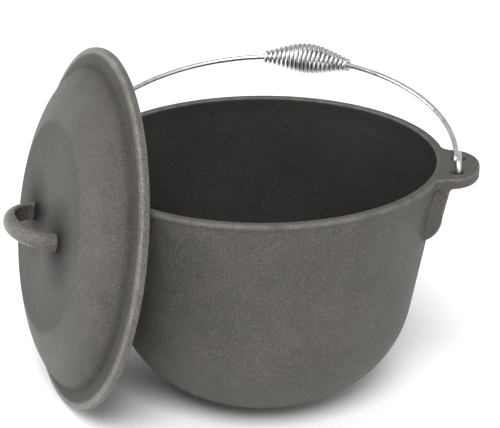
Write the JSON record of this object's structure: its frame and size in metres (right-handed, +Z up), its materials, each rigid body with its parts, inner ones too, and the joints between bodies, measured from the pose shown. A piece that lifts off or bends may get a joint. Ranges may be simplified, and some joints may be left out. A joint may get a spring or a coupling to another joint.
{
  "type": "dutch oven",
  "caption": "Cast iron cooking pot with thick lip and pierced ears, a wire bail with coiled hand grip, and a domed lid with a cast loop handle leaning against it.",
  "frame": {"origin": "on the pot's axis, at the underside of its flat base", "axes": "+Z up along the pot's axis, +X through the ears along the bail's hinge axis, -Y the side that the picture looks from, the bail rests back over +Y"},
  "size_m": [0.4844, 0.4125, 0.3543],
  "materials": {
    "pot_iron": "seasoned sand casting",
    "lid_iron": "seasoned sand casting",
    "bail_steel": "zinc plated wire",
    "grip_steel": "zinc plated wire"
  },
  "bodies": {
    "pot": {"pot": "pot_iron"},
    "bail": {"bail": "bail_steel"},
    "grip": {"grip": "grip_steel"},
    "lid": {"lid": "lid_iron"}
  },
  "joints": [
    {"name": "bail_swing", "type": "hinge", "parent": "pot", "child": "bail", "pos_m": [0, 0, 0.243], "axis": [1, 0, 0], "range_deg": [0, 144]},
    {"name": "grip_slide", "type": "hinge", "parent": "bail", "child": "grip", "pos_m": [0, 0.00438, 0.24627], "axis": [0, 0.225, -0.9744], "range_deg": [-60, 46]},
    {"name": "lid_lift_off", "type": "slide", "parent": "pot", "child": "lid", "axis": [-0.8446, -0.4975, 0.1977], "range_m": [0, 0.26]}
  ],
  "couplings": [
    {"joint": "lid_lift_off", "follows": "bail_swing", "m_per_rad": 0.1}
  ]
}
